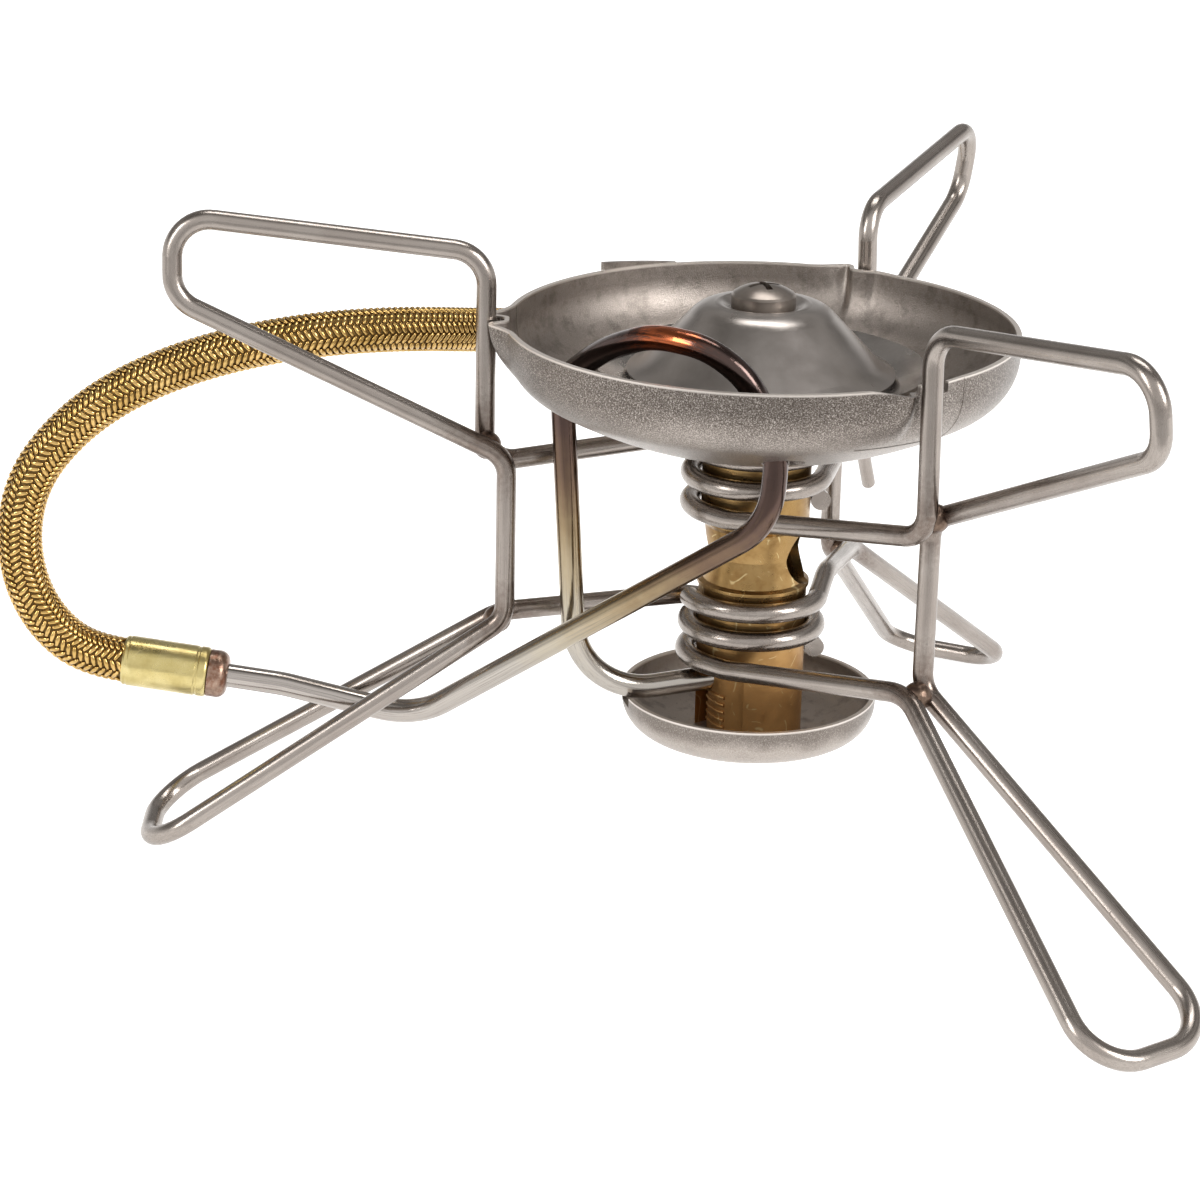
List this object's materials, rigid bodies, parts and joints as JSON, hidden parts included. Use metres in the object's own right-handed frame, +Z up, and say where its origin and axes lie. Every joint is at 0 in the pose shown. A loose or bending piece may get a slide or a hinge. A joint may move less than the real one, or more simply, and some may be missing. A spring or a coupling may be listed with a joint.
{
  "type": "liquid fuel camping stove",
  "caption": "Remote-fed liquid fuel stove with bent wire folding legs, stamped flame bowl, preheat loop, priming cup and braided fuel hose.",
  "frame": {"origin": "on the burner tube's axis at floor level", "axes": "+Z up along the burner tube, -Y towards the front, the hose side along -X"},
  "size_m": [0.2041, 0.3037, 0.114],
  "materials": {
    "wire_steel": "satin drawn stainless wire",
    "bowl_steel": "stamped stainless sheet, matte grain",
    "bell_steel": "bright spun stainless sheet",
    "spreader_steel": "polished stainless sheet",
    "tube_brass": "turned brass, scratched",
    "line_steel": "heat tinted steel tube",
    "cable_steel": "fine stranded steel wire",
    "braze_bronze": "brazing bronze",
    "copper_braze": "copper coloured brazing",
    "ferrule_brass": "bright brass, crimped",
    "hose_braid": "brass wire braid over a rubber hose"
  },
  "bodies": {
    "stove": {"mixer_tube": "tube_brass", "priming_cup": "bowl_steel", "burner_bowl": "bowl_steel", "burner_bell": "bell_steel", "hub_nut": "wire_steel", "burner_spider": "wire_steel", "flame_ring_outer": "spreader_steel", "flame_ring_inner": "spreader_steel", "flame_spreader": "spreader_steel", "burner_screw": "spreader_steel", "jet_block": "tube_brass", "jet": "tube_brass", "jet_plug": "tube_brass", "fuel_line": "line_steel", "cleaning_cable": "cable_steel", "stove_collar": "copper_braze", "stove_ferrule": "ferrule_brass", "fuel_hose": "hose_braid", "pump_collar": "copper_braze", "pump_ferrule": "ferrule_brass", "pump_tube": "wire_steel", "leg_fixed": "wire_steel", "braze_fixed_upper": "braze_bronze", "braze_fixed_lower": "braze_bronze"},
    "back_leg": {"leg_back": "wire_steel", "braze_back_upper": "braze_bronze", "braze_back_lower": "braze_bronze"},
    "front_leg": {"leg_front": "wire_steel", "braze_front_upper": "braze_bronze", "braze_front_lower": "braze_bronze"},
    "needle": {"shaker_needle": "wire_steel"}
  },
  "joints": [
    {"name": "back_leg_fold", "type": "hinge", "parent": "stove", "child": "back_leg", "pos_m": [0, 0, 0.06], "axis": [0, 0, 1], "range_deg": [-55, 0]},
    {"name": "front_leg_fold", "type": "hinge", "parent": "stove", "child": "front_leg", "pos_m": [0, 0, 0.06], "axis": [0, 0, 1], "range_deg": [0, 46]},
    {"name": "needle_shake", "type": "slide", "parent": "stove", "child": "needle", "axis": [0, 0, 1], "range_m": [0, 0.002]}
  ]
}
